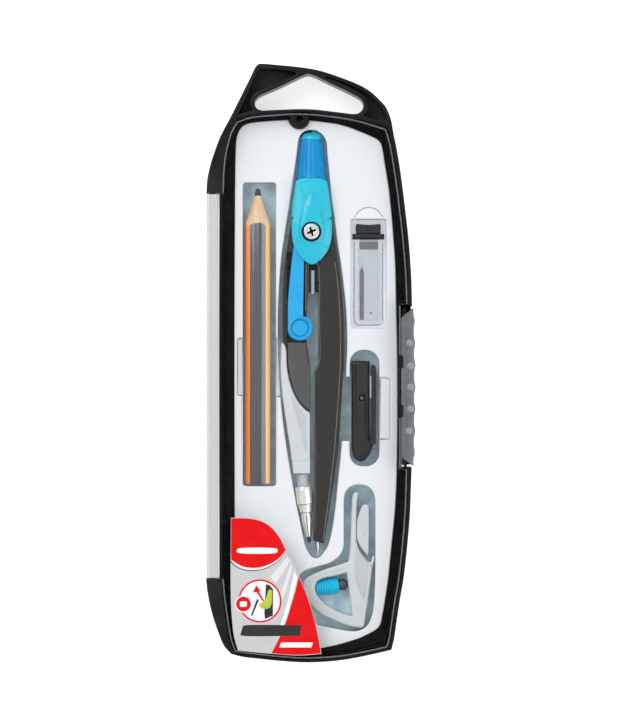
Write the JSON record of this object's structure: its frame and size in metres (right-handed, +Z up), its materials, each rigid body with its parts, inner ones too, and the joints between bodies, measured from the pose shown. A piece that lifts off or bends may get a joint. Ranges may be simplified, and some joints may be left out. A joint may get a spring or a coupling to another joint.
{
  "type": "drafting instrument case",
  "caption": "Flat hinged case with a clear lid and carrying handle, holding a school compass, pencil, lead box, lead pointer and pen holder in a recessed tray.",
  "frame": {"origin": "centre of the footprint, on the plane that the closed case lies on", "axes": "+Z up through the case's thickness to the clear lid, +Y towards the carrying handle, +X towards the latch"},
  "size_m": [0.074, 0.2102, 0.0181],
  "materials": {
    "base_black": "satin",
    "liner_grey": "matt",
    "insert_white": "satin",
    "steel": "satin",
    "lid_clear": "clear, a moulded transparent plastic",
    "label_print": "printed",
    "grip_grey": "soft touch",
    "turquoise": "gloss",
    "blue": "gloss",
    "brass": "plain",
    "leg_black": "fine metallic paint",
    "graphite": "dull",
    "arm_grey": "satin",
    "clear_plastic": "clear",
    "chrome": "polished",
    "pencil_paint": "painted",
    "clip_grey": "satin"
  },
  "bodies": {
    "case": {"case_base": "base_black", "recess_liner": "liner_grey", "insert_tray": "insert_white", "hinge_pins": "steel", "latch_pin": "steel"},
    "lid": {"lid": "lid_clear", "lid_label": "label_print"},
    "latch": {"latch_flap": "base_black", "latch_grip": "grip_grey"},
    "compass": {"compass_head": "turquoise", "compass_grip": "blue", "grip_end_cap": "turquoise", "pivot_screw": "steel", "pivot_nut": "steel", "pivot_washer": "brass", "centring_bracket": "leg_black"},
    "needle_leg": {"needle_leg": "leg_black", "needle_sleeve": "steel", "needle": "steel"},
    "lead_leg": {"lead_leg": "leg_black", "lever_pin": "steel", "lever_block": "blue", "stored_lead": "graphite", "lower_arm": "arm_grey", "clear_ferrule": "clear_plastic", "chuck_jaws": "chrome", "compass_lead": "graphite"},
    "opening_lever": {"opening_lever": "blue"},
    "chuck_sleeve": {"chuck_sleeve": "chrome"},
    "pencil": {"pencil_body": "pencil_paint", "pencil_lead": "graphite"},
    "lead_box": {"lead_box_tube": "clear_plastic", "spare_lead": "graphite"},
    "lead_box_cap": {"lead_box_cap": "base_black"},
    "lead_pointer": {"pointer_body": "base_black", "pointer_blade": "steel", "pointer_rivet": "base_black"},
    "holder": {"holder_frame": "arm_grey", "holder_clip": "clip_grey"},
    "clamp_screw": {"clamp_screw": "leg_black", "clamp_knob": "blue"}
  },
  "joints": [
    {"name": "lid_hinge", "type": "hinge", "parent": "case", "child": "lid", "pos_m": [-0.03473, 0, 0.0095], "axis": [0, -1, 0], "range_deg": [0, 180]},
    {"name": "latch_hinge", "type": "hinge", "parent": "case", "child": "latch", "pos_m": [0.03382, 0, 0.0036], "axis": [0, 1, 0], "range_deg": [0, 35]},
    {"name": "compass_lift", "type": "slide", "parent": "case", "child": "compass", "axis": [0, 0, 1], "range_m": [0, 0.0722]},
    {"name": "pencil_lift", "type": "slide", "parent": "case", "child": "pencil", "axis": [0, 0, 1], "range_m": [0, 0.0315]},
    {"name": "lead_box_lift", "type": "slide", "parent": "case", "child": "lead_box", "axis": [0, 0, 1], "range_m": [0, 0.0472]},
    {"name": "pointer_lift", "type": "slide", "parent": "case", "child": "lead_pointer", "axis": [0, 0, 1], "range_m": [0, 0.0378]},
    {"name": "holder_lift", "type": "slide", "parent": "case", "child": "holder", "axis": [0, 0, 1], "range_m": [0, 0.0472]},
    {"name": "needle_leg_pivot", "type": "hinge", "parent": "compass", "child": "needle_leg", "pos_m": [0.00019, 0.04616, 0.008], "axis": [0, 0, 1], "range_deg": [0, 14.5]},
    {"name": "lead_leg_pivot", "type": "hinge", "parent": "compass", "child": "lead_leg", "pos_m": [0.00019, 0.04616, 0.008], "axis": [0, 0, -1], "range_deg": [0, 14.5]},
    {"name": "opening_lever_hinge", "type": "hinge", "parent": "lead_leg", "child": "opening_lever", "pos_m": [-0.00525, 0.03405, 0.0102], "axis": [-1, 0, 0], "range_deg": [0, 6]},
    {"name": "chuck_turn", "type": "hinge", "parent": "lead_leg", "child": "chuck_sleeve", "pos_m": [-0.00304, -0.03938, 0.0088], "axis": [0.1023, -0.9948, 0], "range_deg": [0, 360]},
    {"name": "cap_pull", "type": "slide", "parent": "lead_box", "child": "lead_box_cap", "axis": [0, 1, 0], "range_m": [0, 0.007]},
    {"name": "clamp_screw_turn", "type": "hinge", "parent": "holder", "child": "clamp_screw", "pos_m": [0.00198, -0.07943, 0.0064], "axis": [0.9903, 0.1392, 0], "range_deg": [0, 360]}
  ],
  "couplings": [
    {"joint": "lid_hinge", "follows": "compass_lift", "rad_per_m": 43.5},
    {"joint": "pencil_lift", "follows": "compass_lift", "ratio": 0.435},
    {"joint": "lead_box_lift", "follows": "compass_lift", "ratio": 0.652},
    {"joint": "pointer_lift", "follows": "compass_lift", "ratio": 0.52},
    {"joint": "holder_lift", "follows": "compass_lift", "ratio": 0.652},
    {"joint": "needle_leg_pivot", "follows": "compass_lift", "rad_per_m": 3.43},
    {"joint": "lead_leg_pivot", "follows": "compass_lift", "rad_per_m": 3.43},
    {"joint": "cap_pull", "follows": "compass_lift", "ratio": 0.0957}
  ]
}
